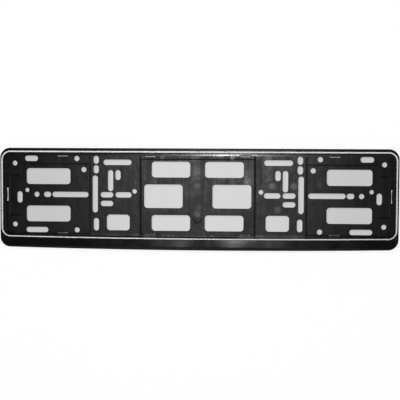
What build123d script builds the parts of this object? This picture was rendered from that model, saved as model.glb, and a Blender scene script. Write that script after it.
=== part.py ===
from build123d import *
import os
from math import radians, tan

# Number plate holder: a one-piece moulded tray with a pierced floor, snap lips and a bright trim line.
# X runs across the plate, Z is up, the front faces -Y, and the back rests on the plane Y = 0.
# The origin is the middle of the plate recess on that back plane. All sizes are in millimetres.
# Everything is drawn as seen from the front, with depth counted forward from the back plane.

# Plate recess
recess_width = 522.4
recess_height = 112.6
recess_rise = 2.3
recess_corner = 9.2
foot_bevel = 0.9

# Rim round the recess
side_rim = 4.7
top_rim = 6.6
bottom_bar = 16.9
bar_rise = 3.2
outer_corner = 14.0
rim_depth = 10.7
top_roll_run = 1.3
top_roll_radius = 2.0
bar_gap = 0.3
bar_lean = 4.0
bar_sweep_radius = 45.0
bar_roll_height = 4.8
bar_roll_radius = 7.5
bar_roll_turn = 60
edge_bevel = 0.6

# Walls of the moulding
outer_wall = 1.8
inner_wall = 1.8
roof_wall = 1.8
rib_wall = 1.4
rib_count = 12

# Floor, and the shallow panels set back in it
floor_wall = 2.0
step_depth = 1.5
step_angle = 45
centre_panel_width = 153.4
centre_panel_top_margin = 8.0
panel_bottom_margin = 3.8
end_panel_start = 145.1
end_panel_side_margin = 6.5
end_panel_top_margin = 14.8
corner_pad_width = 21.7
top_pad_height = 30.3
bottom_pad_height = 28.3

# Trim line
trim_width = 1.9
lower_trim_width = 1.4
trim_inset = 0.85
trim_seat = 0.6
trim_proud = 0.3
trim_clearance = 0.05

# Snap lips and the slots under them
lip_length = 14.9
lip_reach = 3.75
lip_bow = 0.3
side_lip_length = 19.0
side_lip_reach = 3.7
side_lip_bow = 0.9
lip_gap = 2.6
lip_root = 2.2
lip_tip = 2.0
lip_end_cover = 0.7
lip_slot_ledge = 0.4
lip_slot_margin = 0.8
lower_slot_margin = 0.05
lip_places = [63.7, 182.4]

# Rows of holes: how far each lies from the top wall, the bottom wall or the middle
top_row_margin = 7.5
inner_top_row_margin = 12.4
column_top_margin = 9.1
column_upper_margin = 21.9
column_bottom_margin = 16.7
bottom_row_margin = 8.6
middle_row = 0.2
lower_row = -11.5

# Half sizes of the recess, and the heights of the rows
recess_side = recess_width / 2
recess_top = recess_height / 2
top_row = recess_top - top_row_margin
bottom_row = bottom_row_margin - recess_top

# Screw slots
slot_width = 7.2
# Distance in from the end wall, height and length of the level slots in each end panel
end_level_slots = [
    (36.4, top_row, 17.9),
    (57.8, middle_row, 10.1),
    (89.0, middle_row, 49.5),
    (43.7, bottom_row, 30.2),
]
# Distance in from the end wall, height and length of the upright slot at each end
end_upright_slots = [
    (20.0, -3.5, 15.3),
]
# Distance from the middle, height and length of the level slots beside the centre panel
inner_level_slots = [
    (107.9, recess_top - inner_top_row_margin, 38.0),
    (122.1, middle_row, 17.2),
    (99.7, middle_row, 21.9),
    (122.1, lower_row, 17.0),
]
# Distance from the middle, height and length of the upright slots beside the centre panel
inner_upright_slots = [
    (136.7, recess_top - column_top_margin, 10.6),
    (136.7, recess_top - column_upper_margin, 11.0),
    (138.0, 1.2, 49.9),
    (136.5, column_bottom_margin - recess_top, 16.9),
    (117.2, 19.3, 28.4),
    (107.2, 26.8, 13.4),
]

# Round holes
screw_hole = 7.0
small_hole = 5.7
corner_hole = 6.6
corner_hole_inset = 13.8
corner_hole_rise = 41.3
corner_hole_middle = 1.0
# Distance in from the end wall and height of the screw holes in each end panel
end_screw_holes = [
    (98.2, top_row),
    (98.2, bottom_row),
    (107.4, 33.9),
    (43.2, middle_row),
]
# Distance in from the end wall and height of the small hole by the end slot
end_small_hole = (30.1, 6.0)
# Width of the hole beside the centre panel, and its distance from the middle and height
inner_hole = 6.1
inner_hole_place = (84.7, 5.0)

# Windows
window_corner = 4.4
end_window = (60.0, 21.4)
end_window_inset = 59.2
end_window_rise = 25.3
end_window_middle = -0.5
low_window = (31.0, 21.2)
low_window_place = (106.8, -37.0)
centre_window = (51.8, 21.2)
centre_window_x = 35.8
centre_window_rise = 35.9
middle_window = (51.9, 31.7)
middle_window_x = 46.0
centre_window_middle = -1.4

# Gate boss on the centre panel
boss_width = 14.0
boss_height = 0.6
boss_z = -31.0

# Sizes that follow
outer_width = recess_width + 2 * side_rim
outer_side = outer_width / 2
outer_top = recess_top + top_rim
outer_bottom = -recess_top - bottom_bar
floor_back = step_depth
floor_front = step_depth + floor_wall
panel_front = floor_wall
lip_back = floor_front + lip_gap
beyond = 5.0
overrun = 0.5
near = 0.01


def slab(outline, back, front):
    """A flat piece with the given outline between two depths."""
    return Pos(0, 0, back) * extrude(outline, front - back)


def both_sides(half):
    """The shape and its mirror image in the middle plane."""
    return half + mirror(half, about=Plane.YZ)


def bowed_outline(side, top, bottom, rise, corner):
    """A rounded outline whose lower edge rises in one curve from the middle to both ends."""
    lower_edge = ThreePointArc((-side, bottom + rise), (0, bottom), (side, bottom + rise))
    rest = Polyline(lower_edge @ 1, (side, top), (-side, top), lower_edge @ 0)
    return fillet(make_face([lower_edge, rest]).vertices(), corner)


def outer_outline(inset):
    """Outline of the whole holder, drawn in by an inset."""
    corner = outer_corner - inset
    return bowed_outline(outer_side - inset, outer_top - inset, outer_bottom + inset, bar_rise, corner)


def recess_outline(outset, lower_outset):
    """Outline of the plate recess, drawn out by one outset at the top and ends and another below."""
    corner = recess_corner + outset
    bottom = -recess_top - lower_outset
    return bowed_outline(recess_side + outset, recess_top + outset, bottom, recess_rise, corner)


def lower_wall(place):
    """Height of the recess's lower wall at a distance from the middle."""
    radius = (recess_side**2 + recess_rise**2) / (2 * recess_rise)
    return radius - (radius**2 - place**2) ** 0.5 - recess_top


def falling_arc(start, crest, radius, end):
    """An arc that leaves the level crest smoothly and falls away towards the back."""
    run = end - start
    drop = radius - (radius**2 - run**2) ** 0.5
    return TangentArc((start, crest), (end, crest - drop), tangent=(run, 0))


def behind_front(setback):
    """Everything behind the front: level crest, rolled top and leaning bar with a rolled foot."""
    crest = rim_depth - setback
    crest_top = outer_top - top_roll_run
    crest_bottom = -recess_top - bar_gap
    crest_line = Line((crest_bottom, crest), (crest_top, crest))
    top_roll = falling_arc(crest_top, crest, top_roll_radius, outer_top + overrun)
    bar_sweep = JernArc((crest_bottom, crest), (-1, 0), bar_sweep_radius, -bar_lean)
    roll_start = outer_bottom + bar_roll_height
    reach = ((bar_sweep @ 1).X - roll_start) * tan(radians(bar_lean))
    bar_face = Line(bar_sweep @ 1, (roll_start, (bar_sweep @ 1).Y + reach))
    bar_roll = JernArc(bar_face @ 1, bar_face % 1, bar_roll_radius, bar_roll_turn)
    rest = Polyline(
        top_roll @ 1,
        (outer_top + beyond, (top_roll @ 1).Y),
        (outer_top + beyond, -beyond),
        (outer_bottom - beyond, -beyond),
        (outer_bottom - beyond, (bar_roll @ 1).Y),
        bar_roll @ 1,
    )
    section = make_face([crest_line, top_roll, rest, bar_roll, bar_face, bar_sweep])
    return extrude(Plane.YZ * section, outer_width, both=True)


def rim_block():
    """The solid block of the holder, with its outer front edge bevelled."""
    block = slab(outer_outline(0), 0, rim_depth + beyond) & behind_front(0)
    outline = outer_outline(0).wire()
    front_edges = []
    for edge in block.edges().filter_by(Axis.Z, reverse=True):
        middle = edge @ 0.5
        on_outline = outline.distance_to(Vertex(middle.X, middle.Y, 0)) < near
        if on_outline and middle.Z > near:
            front_edges.append(edge)
    return chamfer(front_edges, edge_bevel)


def plate_recess():
    """The hollow that takes the plate, with a bevelled foot."""
    hollow = slab(recess_outline(0, 0), floor_front, rim_depth + beyond)
    foot = hollow.edges().filter_by_position(Axis.Z, floor_front, floor_front)
    return chamfer(foot, foot_bevel)


def trim_ring(clearance, back, front):
    """The closed band of the trim line between two depths."""
    inner = trim_inset + clearance
    outer = trim_inset + trim_width - clearance
    lower_outer = trim_inset + lower_trim_width - clearance
    inside = slab(recess_outline(inner, inner), back - beyond, front + beyond)
    return slab(recess_outline(outer, lower_outer), back, front) - inside


def end_panel_outline():
    """The right-hand end panel, notched at its two outer corners for the screw pads."""
    outer = recess_side - end_panel_side_margin
    pad = recess_side - corner_pad_width
    top = recess_top - end_panel_top_margin
    bottom = panel_bottom_margin - recess_top
    pad_top = recess_top - top_pad_height
    pad_bottom = bottom_pad_height - recess_top
    return make_face(
        Polyline(
            (end_panel_start, bottom),
            (end_panel_start, top),
            (pad, top),
            (pad, pad_top),
            (outer, pad_top),
            (outer, pad_bottom),
            (pad, pad_bottom),
            (pad, bottom),
            close=True,
        )
    )


def centre_panel_outline():
    """The panel across the middle."""
    top = recess_top - centre_panel_top_margin
    bottom = panel_bottom_margin - recess_top
    return Pos(0, (top + bottom) / 2) * Rectangle(centre_panel_width, top - bottom)


def set_back(front, outset):
    """The three shallow panels as blocks that reach one step below the given depth, with sloping feet."""
    slope_run = step_depth / tan(radians(step_angle))
    blocks = []
    for outline in (centre_panel_outline(), end_panel_outline()):
        grown = offset(outline, outset + slope_run / 2, kind=Kind.INTERSECTION)
        block = slab(grown, front - step_depth, front + step_depth)
        foot = block.faces().sort_by(Axis.Z)[0]
        blocks.append(chamfer(foot.edges(), slope_run, angle=step_angle, reference=foot))
    centre, end = blocks
    return [centre, end, mirror(end, about=Plane.YZ)]


def back_hollow():
    """The hollow behind the floor and the rim, which leaves the panels and the outer wall standing."""
    wall_growth = floor_wall * tan(radians(step_angle / 2))
    return slab(outer_outline(outer_wall), 0, floor_back) - set_back(floor_back, wall_growth)


def rim_channels():
    """The hollows in the back of the top rim and of the bottom bar, with ribs left across the bar."""
    length = outer_width - 2 * outer_corner
    top_strip = Pos(0, outer_top) * Rectangle(length, 2 * top_rim)
    bay_width = (length - rib_count * rib_wall) / (rib_count + 1)
    bays = GridLocations(bay_width + rib_wall, 1, rib_count + 1, 1)
    bar_strips = Pos(0, outer_bottom) * bays * Rectangle(bay_width, 2 * (bottom_bar + recess_rise))
    between_walls = outer_outline(outer_wall) - recess_outline(inner_wall, inner_wall)
    hollows = between_walls & (Sketch() + top_strip + bar_strips)
    return slab(hollows, 0, rim_depth) & behind_front(roof_wall)


def floor_openings():
    """All screw holes, screw slots and windows of the right-hand half."""
    shapes = []
    for inset, height, length in end_level_slots:
        shapes.append(Pos(recess_side - inset, height) * SlotOverall(length, slot_width))
    for inset, height, length in end_upright_slots:
        shapes.append(Pos(recess_side - inset, height) * SlotOverall(length, slot_width, rotation=90))
    for place, height, length in inner_level_slots:
        shapes.append(Pos(place, height) * SlotOverall(length, slot_width))
    for place, height, length in inner_upright_slots:
        shapes.append(Pos(place, height) * SlotOverall(length, slot_width, rotation=90))
    for inset, height in end_screw_holes:
        shapes.append(Pos(recess_side - inset, height) * Circle(screw_hole / 2))
    shapes.append(Pos(recess_side - end_small_hole[0], end_small_hole[1]) * Circle(small_hole / 2))
    shapes.append(Pos(inner_hole_place) * Circle(inner_hole / 2))
    for side in (1, -1):
        corner = (recess_side - corner_hole_inset, corner_hole_middle + side * corner_hole_rise)
        shapes.append(Pos(corner) * Circle(corner_hole / 2))
        end = (recess_side - end_window_inset, end_window_middle + side * end_window_rise)
        shapes.append(Pos(end) * RectangleRounded(*end_window, window_corner))
        centre = (centre_window_x, centre_window_middle + side * centre_window_rise)
        shapes.append(Pos(centre) * RectangleRounded(*centre_window, window_corner))
    middle = (middle_window_x, centre_window_middle)
    shapes.append(Pos(middle) * RectangleRounded(*middle_window, window_corner))
    shapes.append(Pos(low_window_place) * RectangleRounded(*low_window, window_corner))
    return Sketch() + shapes


def lip(length, reach, bow):
    """A snap lip that stands out of a wall at y = 0 towards -y, with a bowed edge and a thinner tip."""
    tip = -reach - bow
    root = inner_wall / 2
    root_front = lip_back + lip_root
    section = make_face(
        Polyline(
            (root, lip_back),
            (tip, lip_back),
            (tip, lip_back + lip_tip),
            (0, root_front),
            (root, root_front),
            close=True,
        )
    )
    bowed_edge = ThreePointArc((-length / 2, -reach), (0, tip), (length / 2, -reach))
    sides = Polyline(bowed_edge @ 1, (length / 2, root), (-length / 2, root), bowed_edge @ 0)
    plan = slab(make_face([bowed_edge, sides]), lip_back, root_front)
    return plan & extrude(Plane.YZ * section, length, both=True)


def lip_slot(length, reach, margin):
    """The slot through the floor under a lip, from a ledge at the wall to a margin past the lip's tip."""
    depth = reach + margin - lip_slot_ledge
    outline = Pos(0, -lip_slot_ledge - depth / 2) * Rectangle(length - 2 * lip_end_cover, depth)
    return slab(outline, -beyond, lip_back)


def lip_stations():
    """Where each lip stands on the wall, with its length, its reach, its bow and its slot's margin."""
    stations = []
    for side in (1, -1):
        for place in lip_places:
            under_top = Pos(side * place, recess_top)
            over_bottom = Pos(side * place, lower_wall(place)) * Rot(0, 0, 180)
            stations.append((under_top, lip_length, lip_reach, lip_bow, lip_slot_margin))
            stations.append((over_bottom, lip_length, lip_reach, lip_bow, lower_slot_margin))
        inside_end = Pos(side * recess_side, 0) * Rot(0, 0, -90 * side)
        stations.append((inside_end, side_lip_length, side_lip_reach, side_lip_bow, lip_slot_margin))
    return stations


def gate_boss():
    """The low dome left where the moulding was filled."""
    ball = (boss_width**2 / 4 + boss_height**2) / (2 * boss_height)
    dome = Pos(0, boss_z, panel_front + boss_height - ball) * Sphere(ball)
    base = Pos(0, boss_z) * Circle(boss_width / 2)
    return dome & slab(base, panel_front - floor_wall / 2, panel_front + 2 * boss_height)


def holder_body():
    """The black moulding."""
    body = rim_block() - plate_recess()
    body -= trim_ring(0, rim_depth - trim_seat, rim_depth + beyond)
    body -= back_hollow()
    body -= rim_channels()
    body -= set_back(floor_front, 0)
    body += gate_boss()
    body -= slab(both_sides(floor_openings()), -beyond, floor_front + beyond)
    for place, length, reach, bow, margin in lip_stations():
        body -= place * lip_slot(length, reach, margin)
        body += place * lip(length, reach, bow)
    return body


def trim_strip():
    """The bright line, seated in its groove on the crest."""
    return trim_ring(trim_clearance, rim_depth - trim_seat, rim_depth + trim_proud)


os.makedirs("parts", exist_ok=True)
for name, piece in (("holder_body", holder_body()), ("trim_strip", trim_strip())):
    export_step(Plane.XZ * piece, f"parts/{name}.step")
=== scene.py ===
from math import pi, radians

import bpy
from mathutils import Euler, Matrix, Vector


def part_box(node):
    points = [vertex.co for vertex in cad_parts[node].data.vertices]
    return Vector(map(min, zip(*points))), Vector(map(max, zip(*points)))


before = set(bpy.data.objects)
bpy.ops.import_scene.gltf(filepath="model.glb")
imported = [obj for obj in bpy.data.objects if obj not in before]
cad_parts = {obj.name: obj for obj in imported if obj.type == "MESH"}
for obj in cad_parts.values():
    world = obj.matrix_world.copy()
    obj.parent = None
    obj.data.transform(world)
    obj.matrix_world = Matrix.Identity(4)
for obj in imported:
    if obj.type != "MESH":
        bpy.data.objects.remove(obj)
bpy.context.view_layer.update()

# Looks of the number plate holder: satin black moulding, silver line, pale studio.
# Sizes are in metres unless a comment says otherwise, in the frame of the solids: X across, Z up,
# the front faces -Y.

body_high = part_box("holder_body")[1]
MM = 0.001

# Camera: a little right of the middle, a little above it, and not quite level. Its lens and sensor
# are in millimetres
CAMERA_PLACE = Vector((0.074, -1.2, 0.050))
CAMERA_YAW = radians(3.374)
CAMERA_PITCH = radians(-2.67)
CAMERA_ROLL = radians(0.27)
CAMERA_LENS = 80.7
CAMERA_SENSOR = 36.0

# Stage: a pale wall just behind the holder and a wide floor below it
WALL_GAP = 0.020
WALL_HALF_WIDTH = 0.75
WALL_TOP = 0.80
FLOOR_LEVEL = -0.42
FLOOR_HALF_WIDTH = 20.0
WALL_COLOUR = (0.15, 0.15, 0.15, 1)
WALL_GLOW = 0.89
FLOOR_COLOUR = (0.32, 0.32, 0.315, 1)
FLOOR_GLOW = 0.55

# The backdrop is greyer behind the holder, a painted shadow: how far across, up and down that reaches,
# where it changes towards the ends, and its glow in the middle and at the ends
PAINTED_SHADOW_SIDE = (0.257, 0.268)
PAINTED_SHADOW_TOP = (0.0525, 0.0555)
PAINTED_SHADOW_BOTTOM = (-0.058, -0.070)
PAINTED_SHADOW_SPREAD = (0.05, 0.22)
PAINTED_SHADOW_GLOW = (0.58, 0.475)

# World: a pale room whose front side, behind the camera, is dark
ROOM_COLOUR = (0.45, 0.45, 0.45, 1)
ROOM_SEEN_COLOUR = (0.70, 0.70, 0.70, 1)
ROOM_FRONT_COLOUR = (0.02, 0.02, 0.02, 1)
FRONT_CONE = (-0.66, -0.44)

# Lamps: place, aim, width, height and power in watts
LAMPS = {
    "key": ((-0.034, -1.25, 0.155), (0.0, 0.0, 0.0), 0.08, 0.06, 8.6),
    "left": ((-1.90, -1.00, 0.05), (0.0, 0.0, 0.0), 0.9, 0.9, 4.0),
    "right": ((1.90, -1.00, 0.05), (0.0, 0.0, 0.0), 0.9, 0.9, 4.0),
    "rear": ((-0.40, 1.50, 0.90), (0.0, 0.0, 0.0), 0.8, 0.8, 10.0),
}

# Where the moulding is polished: the bar below the recess and the band under the top wall
BAR_HEIGHT = (-56.5 * MM, -58.0 * MM)
BAND_HEIGHT = (52.2 * MM, 53.3 * MM)

# Plastic: its colour where it is satin and where it is polished, and its gloss
SATIN_BLACK = (0.0010, 0.0010, 0.0011, 1)
POLISHED_BLACK = (0.0045, 0.0045, 0.0047, 1)
PLASTIC_GLOSS = 0.19

# Noise over the plastic: scale, detail, and for the upright streaks a scale along each axis
MOTTLE = (55.0, 4.0)
STREAKS = (1.0, 3.0, (220.0, 20.0, 7.0))
BAND_GRAIN = (12000.0, 1.0)
BAR_SWAY = (15.0, 1.0)

# Noise levels at which a change of roughness starts and ends, and the roughness at both
NOISE_SPAN = (0.4, 0.6)
SATIN_ROUGHNESS = (0.37, 0.44)
STREAK_ROUGHNESS = (-0.035, 0.035)
BAR_ROUGHNESS = (0.15, 0.18)
BAND_ROUGHNESS = (0.15, 0.37)

# How uneven the bar is, and the satin surface's waves: scale, detail, and height in millimetres
BAR_SWAY_HEIGHT = 1.5 * MM
SATIN_WAVES = [(85.0, 1.0, 0.3), (300.0, 2.0, 0.12), (900.0, 2.0, 0.01)]

# The seams between the panels, which are matt, and how far that reaches on each side
SEAM_PLACES = (76.7 * MM, 145.1 * MM)
SEAM_REACH = (1.8 * MM, 0.8 * MM)
SEAM_ROUGHNESS = 0.62

# The bar's face twists a little between two crowns, the band is rounded, the bottom wall's foot leans,
# and the floor's ends turn slightly outward
BAR_CROWNS = (-31.0 * MM, 56.0 * MM)
TWIST_TILT = 0.018
BAR_TILT = 0.012
BAR_MIDDLE = -65.0 * MM
BAND_MIDDLE = 49.6 * MM
BAND_ROUNDING = 5.0
BAND_TILT = 0.016
FOOT_HEIGHT = (-51.0 * MM, -53.5 * MM)
FOOT_TILT = 0.10
END_START = 150.0 * MM
END_ROUNDING = 0.40

# Smoother patches that the plastic's flow left on the panels: place across and up, and reach,
# in millimetres
FLOW_PATCHES = [(-1.5, 34.0, 11.0), (67.0, 26.0, 16.0), (95.0, 47.0, 14.0)]
FLOW_ROUGHNESS = 0.33

# Marks that the ejector pins and the gate left, drawn as painted glints, and a painted glint streak
# drawn as two small spots: place across and up and reach, in millimetres, and how pale each one is
PAINTED_GLINT_SPOTS = [
    (0.0, 12.7, 5.6, 0.16),
    (0.0, -16.8, 5.6, 0.07),
    (67.0, 17.6, 7.5, 0.40),
    (65.4, 18.6, 1.7, 0.95),
    (66.8, 17.2, 1.7, 0.85),
    (163.5, 14.0, 5.6, 0.09),
    (100.0, 13.0, 5.8, 0.41),
    (128.2, 13.0, 5.8, 0.41),
    (107.0, -18.4, 6.2, 0.26),
    (-1.0, -24.8, 6.0, 0.28),
    (-47.0, 50.9, 3.2, 0.25),
    (-1.0, 50.9, 3.4, 0.20),
    (46.0, 50.9, 3.6, 0.90),
]

# The share of a spot's reach that is palest, the depth where spots end, and the painted highlights' colour
SPOT_CORE = 0.45
SPOT_DEPTH = (-1.6 * MM, -1.9 * MM)
PAINTED_HIGHLIGHT_COLOUR = (0.20, 0.20, 0.20, 1)

# Painted highlight lines along the recess's foot: height, reach up and down and both ends across,
# in millimetres, and how pale each one is. Their core is as in a spot, and their ends fade
PAINTED_HIGHLIGHT_LINES = [(-52.0, 1.1, -53.0, 53.0, 0.20), (-55.2, 1.3, 58.0, 142.0, 0.18)]
HIGHLIGHT_LINE_CORE = 0.45
HIGHLIGHT_LINE_FADE = 5.0 * MM

# Silver line: its darkest and brightest colour, its grain, and how it drifts and brightens from right
# to left
SILVER_DARK = (0.63, 0.635, 0.64, 1)
SILVER_BRIGHT = (0.85, 0.855, 0.86, 1)
SILVER_GRAIN = (700.0, 3.0)
SILVER_ROUGHNESS = (0.42, 0.54)
SILVER_DRIFT = (25.0, 2.0)
SILVER_NOISE_SPAN = (0.3, 0.7)
DRIFT_SHARE = (0.0, 0.4)
SILVER_ENDS = (260.0 * MM, -260.0 * MM)
LEFT_SHARE = (0.0, 0.6)
SILVER_METALLIC = 0.1
SILVER_GLOSS = 0.2


class NodeTree:
    """A material's or the world's node tree, with short calls to add and join nodes."""

    def __init__(self, owner):
        owner.use_nodes = True
        self.nodes = owner.node_tree.nodes
        self.links = owner.node_tree.links
        self.nodes.clear()

    def put(self, value, socket):
        """Links a value that is a socket, and sets any other."""
        if isinstance(value, bpy.types.NodeSocket):
            self.links.new(value, socket)
        else:
            socket.default_value = value

    def add(self, kind, inputs=None, **settings):
        """Adds a node with its settings and inputs."""
        node = self.nodes.new("ShaderNode" + kind)
        for name, value in settings.items():
            setattr(node, name, value)
        for name, value in (inputs or {}).items():
            self.put(value, node.inputs[name])
        return node

    def math(self, operation, first, second=0.0):
        """The result of a sum on one or two sockets or numbers."""
        return self.add("Math", {0: first, 1: second}, operation=operation).outputs[0]

    def ramp(self, value, low, high, start=0.0, end=1.0):
        """A smooth step of a value between two levels."""
        inputs = {"Value": value, "From Min": low, "From Max": high, "To Min": start, "To Max": end}
        return self.add("MapRange", inputs, interpolation_type="SMOOTHSTEP").outputs["Result"]

    def noise(self, place, scale, detail, stretch=(1.0, 1.0, 1.0)):
        """Cloudy noise from 0 to 1 over a place, with its own scale along each axis."""
        spread = self.add("Mapping", {"Vector": place, "Scale": stretch}).outputs["Vector"]
        return self.add("TexNoise", {"Vector": spread, "Scale": scale, "Detail": detail}).outputs["Fac"]

    def bump(self, height, share, distance, normal=None):
        """The surface's normal, bent by a height, on top of an earlier normal."""
        inputs = {"Height": height, "Strength": share, "Distance": distance}
        if normal is not None:
            inputs["Normal"] = normal
        return self.add("Bump", inputs).outputs["Normal"]

    def blend(self, share, first, second):
        """A number between two others."""
        inputs = {"Factor": share, "A": first, "B": second}
        return self.add("Mix", inputs, data_type="FLOAT").outputs["Result"]

    def tint(self, share, first, second):
        """A colour between two others."""
        node = self.add("Mix", {"Factor": share}, data_type="RGBA")
        sockets = [socket for socket in node.inputs if socket.type == "RGBA"]
        for socket, colour in zip(sockets, (first, second)):
            self.put(colour, socket)
        return [socket for socket in node.outputs if socket.type == "RGBA"][0]


def new_material(name):
    """An empty material and its node tree."""
    material = bpy.data.materials.new(name)
    return material, NodeTree(material)


def seam_share(tree, axes):
    """1 along the seams between the panels, falling to 0 beside them."""
    side = tree.math("ABSOLUTE", axes.outputs["X"])
    share = 0.0
    for seam in SEAM_PLACES:
        apart = tree.math("ABSOLUTE", tree.math("SUBTRACT", side, seam))
        share = tree.math("MAXIMUM", share, tree.ramp(apart, *SEAM_REACH))
    return share


def bar_twist(tree, axes):
    """Height that tilts the bar's face up and to one side, and down again between its two crowns."""
    left, right = BAR_CROWNS
    along = tree.math("MINIMUM", tree.math("MAXIMUM", axes.outputs["X"], left), right)
    turn = tree.math("MULTIPLY", tree.math("SUBTRACT", along, left), 2 * pi / (right - left))
    tilt = tree.math("MULTIPLY", tree.math("COSINE", turn), -TWIST_TILT)
    twist = tree.math("MULTIPLY", tilt, tree.math("SUBTRACT", axes.outputs["Z"], BAR_MIDDLE))
    return tree.math("ADD", twist, tree.math("MULTIPLY", axes.outputs["X"], BAR_TILT))


def band_rounding(tree, axes):
    """Height that rounds the band under the top wall."""
    away = tree.math("SUBTRACT", axes.outputs["Z"], BAND_MIDDLE)
    crown = tree.math("MULTIPLY", tree.math("MULTIPLY", away, away), -BAND_ROUNDING)
    return tree.math("ADD", crown, tree.math("MULTIPLY", axes.outputs["X"], BAND_TILT))


def foot_lean(tree, axes):
    """Height that leans the foot of the bottom wall."""
    return tree.math("MULTIPLY", axes.outputs["Z"], -FOOT_TILT)


def end_turn(tree, axes):
    """Height that turns the floor's two ends outward."""
    past = tree.math("SUBTRACT", tree.math("ABSOLUTE", axes.outputs["X"]), END_START)
    bent = tree.math("MAXIMUM", past, 0.0)
    return tree.math("MULTIPLY", tree.math("MULTIPLY", bent, bent), -END_ROUNDING)


def spot(tree, axes, across, up, reach, core):
    """1 round a place on the front, out to a core, falling to 0 at the reach."""
    beside = tree.math("SUBTRACT", axes.outputs["X"], across * MM)
    above = tree.math("SUBTRACT", axes.outputs["Z"], up * MM)
    square = tree.math("ADD", tree.math("MULTIPLY", beside, beside), tree.math("MULTIPLY", above, above))
    return tree.ramp(tree.math("SQRT", square), reach * MM, core * MM)


def flow_share(tree, axes):
    """1 in the middle of the smoother patches, falling to 0 at their reach."""
    share = 0.0
    for across, up, reach in FLOW_PATCHES:
        share = tree.math("MAXIMUM", share, spot(tree, axes, across, up, reach, 0.0))
    return share


def painted_line_share(tree, axes):
    """How pale the painted highlight lines along the recess's foot are."""
    share = 0.0
    for up, reach, left, right, paleness in PAINTED_HIGHLIGHT_LINES:
        apart = tree.math("ABSOLUTE", tree.math("SUBTRACT", axes.outputs["Z"], up * MM))
        line = tree.ramp(apart, reach * MM, reach * HIGHLIGHT_LINE_CORE * MM)
        middle = (left + right) / 2
        half = (right - left) / 2
        along = tree.math("ABSOLUTE", tree.math("SUBTRACT", axes.outputs["X"], middle * MM))
        length = tree.ramp(along, half * MM + HIGHLIGHT_LINE_FADE, half * MM - HIGHLIGHT_LINE_FADE)
        painted_stripe = tree.math("MULTIPLY", line, length)
        share = tree.math("MAXIMUM", share, tree.math("MULTIPLY", painted_stripe, paleness))
    return share


def painted_highlight_share(tree, axes):
    """How pale the plastic's front is on its painted highlight lines and its painted glints."""
    share = painted_line_share(tree, axes)
    for across, up, reach, paleness in PAINTED_GLINT_SPOTS:
        pale = spot(tree, axes, across, up, reach, reach * SPOT_CORE)
        share = tree.math("MAXIMUM", share, tree.math("MULTIPLY", pale, paleness))
    return tree.math("MULTIPLY", share, tree.ramp(axes.outputs["Y"], *SPOT_DEPTH))


def plastic_roughness(tree, place, axes, bar, band):
    """Roughness of the moulding: mottled, streaked satin, matt seams, smooth bar, finely grained band."""
    mottle = tree.noise(place, *MOTTLE)
    grained = tree.ramp(mottle, *NOISE_SPAN, *SATIN_ROUGHNESS)
    flowed = tree.blend(flow_share(tree, axes), grained, FLOW_ROUGHNESS)
    streaks = tree.ramp(tree.noise(place, *STREAKS), *NOISE_SPAN, *STREAK_ROUGHNESS)
    satin = tree.math("ADD", flowed, streaks)
    floor_rough = tree.blend(seam_share(tree, axes), satin, SEAM_ROUGHNESS)
    bar_rough = tree.ramp(mottle, *NOISE_SPAN, *BAR_ROUGHNESS)
    band_rough = tree.ramp(tree.noise(place, *BAND_GRAIN), *NOISE_SPAN, *BAND_ROUGHNESS)
    return tree.blend(band, tree.blend(bar, floor_rough, bar_rough), band_rough)


def plastic_normal(tree, place, axes, bar, band, satin):
    """Normal of the moulding: the slight warp of each part, and the satin surface's waves."""
    foot = tree.math("SUBTRACT", tree.ramp(axes.outputs["Z"], *FOOT_HEIGHT), bar)
    normal = tree.bump(bar_twist(tree, axes), bar, 1.0)
    normal = tree.bump(band_rounding(tree, axes), band, 1.0, normal)
    normal = tree.bump(foot_lean(tree, axes), foot, 1.0, normal)
    normal = tree.bump(end_turn(tree, axes), satin, 1.0, normal)
    normal = tree.bump(tree.noise(place, *BAR_SWAY), bar, BAR_SWAY_HEIGHT, normal)
    for scale, detail, height in SATIN_WAVES:
        normal = tree.bump(tree.noise(place, scale, detail), satin, height * MM, normal)
    return normal


def black_plastic():
    """Satin black moulding: grained floor and rim, polished bar and band, painted glints and highlight
    lines, a slight warp.
    """
    material, tree = new_material("black_plastic_satin")
    place = tree.add("TexCoord").outputs["Object"]
    axes = tree.add("SeparateXYZ", {"Vector": place})
    bar = tree.ramp(axes.outputs["Z"], *BAR_HEIGHT)
    band = tree.ramp(axes.outputs["Z"], *BAND_HEIGHT)
    polished = tree.math("MAXIMUM", bar, band)
    satin = tree.math("SUBTRACT", 1.0, polished)
    black = tree.tint(polished, SATIN_BLACK, POLISHED_BLACK)
    shader = tree.add(
        "BsdfPrincipled",
        {
            # Base colour: black, with painted glints on the marks and painted highlight lines along the
            # recess's foot
            "Base Color": tree.tint(painted_highlight_share(tree, axes), black, PAINTED_HIGHLIGHT_COLOUR),
            "Roughness": plastic_roughness(tree, place, axes, bar, band),
            "Specular IOR Level": PLASTIC_GLOSS,
            "Normal": plastic_normal(tree, place, axes, bar, band, satin),
        },
    )
    tree.add("OutputMaterial", {"Surface": shader.outputs["BSDF"]})
    return material


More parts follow.
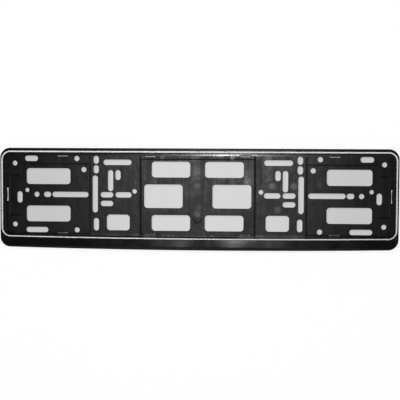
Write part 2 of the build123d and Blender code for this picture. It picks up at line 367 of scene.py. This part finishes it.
def silver_trim():
    """Satin silver line, with a fine grain, brighter towards its left end."""
    material, tree = new_material("silver_satin")
    place = tree.add("TexCoord").outputs["Object"]
    across = tree.add("SeparateXYZ", {"Vector": place}).outputs["X"]
    drift = tree.ramp(tree.noise(place, *SILVER_DRIFT), *SILVER_NOISE_SPAN, *DRIFT_SHARE)
    bright = tree.math("ADD", drift, tree.ramp(across, *SILVER_ENDS, *LEFT_SHARE))
    grain = tree.noise(place, *SILVER_GRAIN)
    shader = tree.add(
        "BsdfPrincipled",
        {
            "Base Color": tree.tint(bright, SILVER_DARK, SILVER_BRIGHT),
            "Roughness": tree.ramp(grain, *SILVER_NOISE_SPAN, *SILVER_ROUGHNESS),
            "Metallic": SILVER_METALLIC,
            "Specular IOR Level": SILVER_GLOSS,
        },
    )
    tree.add("OutputMaterial", {"Surface": shader.outputs["BSDF"]})
    return material


def seen_share(tree, path):
    """1 for a ray from the camera, a reflection or a transmission, and 0 for light that falls on things."""
    seen = tree.math("ADD", path.outputs["Is Camera Ray"], path.outputs["Is Glossy Ray"])
    return tree.math("ADD", seen, path.outputs["Is Transmission Ray"])


def glowing_paint(tree, colour, strength):
    """Matt paint with a glow added to it."""
    paint = tree.add("BsdfDiffuse", {"Color": colour})
    glow = tree.add("Emission", {"Strength": strength})
    return tree.add("AddShader", {0: paint.outputs[0], 1: glow.outputs[0]}).outputs[0]


def wall_glow(tree):
    """How much the backdrop glows: white round the holder, with a painted shadow behind it, greyest behind
    its ends.
    """
    axes = tree.add("SeparateXYZ", {"Vector": tree.add("TexCoord").outputs["Object"]})
    across = tree.math("ABSOLUTE", axes.outputs["X"])
    beside = tree.ramp(across, *PAINTED_SHADOW_SIDE)
    above = tree.ramp(axes.outputs["Z"], *PAINTED_SHADOW_TOP)
    below = tree.ramp(axes.outputs["Z"], *PAINTED_SHADOW_BOTTOM)
    clear = tree.math("MAXIMUM", beside, tree.math("MAXIMUM", above, below))
    # The greyer glow behind the holder is a painted shadow
    return tree.blend(clear, tree.ramp(across, *PAINTED_SHADOW_SPREAD, *PAINTED_SHADOW_GLOW), WALL_GLOW)


def wall_paint():
    """Pale backdrop, seen only from its front, which lets lamps behind it shine through."""
    material, tree = new_material("pale_wall")
    path = tree.add("LightPath")
    lift = tree.math("MULTIPLY", seen_share(tree, path), wall_glow(tree))
    front = glowing_paint(tree, WALL_COLOUR, lift)
    behind = tree.add("NewGeometry").outputs["Backfacing"]
    clear = tree.math("MAXIMUM", behind, path.outputs["Is Shadow Ray"])
    gone = tree.add("BsdfTransparent")
    both = tree.add("MixShader", {0: clear, 1: front, 2: gone.outputs[0]})
    tree.add("OutputMaterial", {"Surface": both.outputs[0]})
    return material


def floor_paint():
    """Pale floor, which takes shadows."""
    material, tree = new_material("pale_floor")
    lift = tree.math("MULTIPLY", seen_share(tree, tree.add("LightPath")), FLOOR_GLOW)
    tree.add("OutputMaterial", {"Surface": glowing_paint(tree, FLOOR_COLOUR, lift)})
    return material


def flat_piece(name, corners, material):
    """A new four-sided flat object in the scene."""
    mesh = bpy.data.meshes.new(name)
    mesh.from_pydata(corners, [], [(0, 1, 2, 3)])
    mesh.materials.append(material)
    piece = bpy.data.objects.new(name, mesh)
    bpy.context.scene.collection.objects.link(piece)
    return piece


def make_stage():
    """The wall just behind the holder and the floor below it."""
    depth = body_high.y + WALL_GAP
    side = WALL_HALF_WIDTH
    low_corners = [(-side, depth, FLOOR_LEVEL), (side, depth, FLOOR_LEVEL)]
    high_corners = [(side, depth, WALL_TOP), (-side, depth, WALL_TOP)]
    wall = flat_piece("stage_wall", low_corners + high_corners, wall_paint())
    edge = FLOOR_HALF_WIDTH
    front_corners = [(-edge, -edge, FLOOR_LEVEL), (edge, -edge, FLOOR_LEVEL)]
    rear_corners = [(edge, edge, FLOOR_LEVEL), (-edge, edge, FLOOR_LEVEL)]
    floor = flat_piece("stage_floor", front_corners + rear_corners, floor_paint())


def make_world():
    """A pale room. The holder's front sees and mirrors a dark side of it, and the camera never does."""
    world = bpy.data.worlds.new("room")
    tree = NodeTree(world)
    direction = tree.add("TexCoord").outputs["Generated"]
    forward = tree.add("SeparateXYZ", {"Vector": direction}).outputs["Y"]
    around = tree.ramp(forward, *FRONT_CONE)
    path = tree.add("LightPath")
    pale = tree.math("MAXIMUM", around, path.outputs["Is Camera Ray"])
    lit = tree.add("Background", {"Color": tree.tint(around, ROOM_FRONT_COLOUR, ROOM_COLOUR)})
    shown = tree.add("Background", {"Color": tree.tint(pale, ROOM_FRONT_COLOUR, ROOM_SEEN_COLOUR)})
    both = tree.add("MixShader", {0: seen_share(tree, path), 1: lit.outputs[0], 2: shown.outputs[0]})
    tree.add("OutputWorld", {"Surface": both.outputs[0]})
    bpy.context.scene.world = world


def make_lamp(name, place, aim, width, height, power):
    """A soft rectangular lamp that the camera doesn't see."""
    data = bpy.data.lights.new(name, "AREA")
    data.shape = "RECTANGLE"
    data.size = width
    data.size_y = height
    data.energy = power
    lamp = bpy.data.objects.new(name, data)
    lamp.location = place
    lamp.rotation_euler = (Vector(aim) - Vector(place)).to_track_quat("-Z", "Y").to_euler()
    lamp.visible_camera = False
    bpy.context.scene.collection.objects.link(lamp)


def make_camera():
    """The camera, almost straight in front of the holder."""
    data = bpy.data.cameras.new("camera")
    data.lens = CAMERA_LENS
    data.sensor_width = CAMERA_SENSOR
    camera = bpy.data.objects.new("camera", data)
    turn = Euler((0, 0, CAMERA_YAW)).to_matrix()
    tilt = Euler((pi / 2 + CAMERA_PITCH, 0, 0)).to_matrix()
    roll = Euler((0, 0, CAMERA_ROLL)).to_matrix()
    camera.rotation_euler = (turn @ tilt @ roll).to_euler()
    camera.location = CAMERA_PLACE
    bpy.context.scene.collection.objects.link(camera)
    bpy.context.scene.camera = camera


def finish_node(name, material):
    """Gives a solid its material."""
    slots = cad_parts[name].data.materials
    slots.clear()
    slots.append(material)


finish_node("holder_body", black_plastic())
finish_node("trim_strip", silver_trim())

make_stage()
make_world()
for lamp_name, lamp_values in LAMPS.items():
    make_lamp(lamp_name, *lamp_values)
make_camera()
bpy.context.scene.view_settings.view_transform = "Standard"
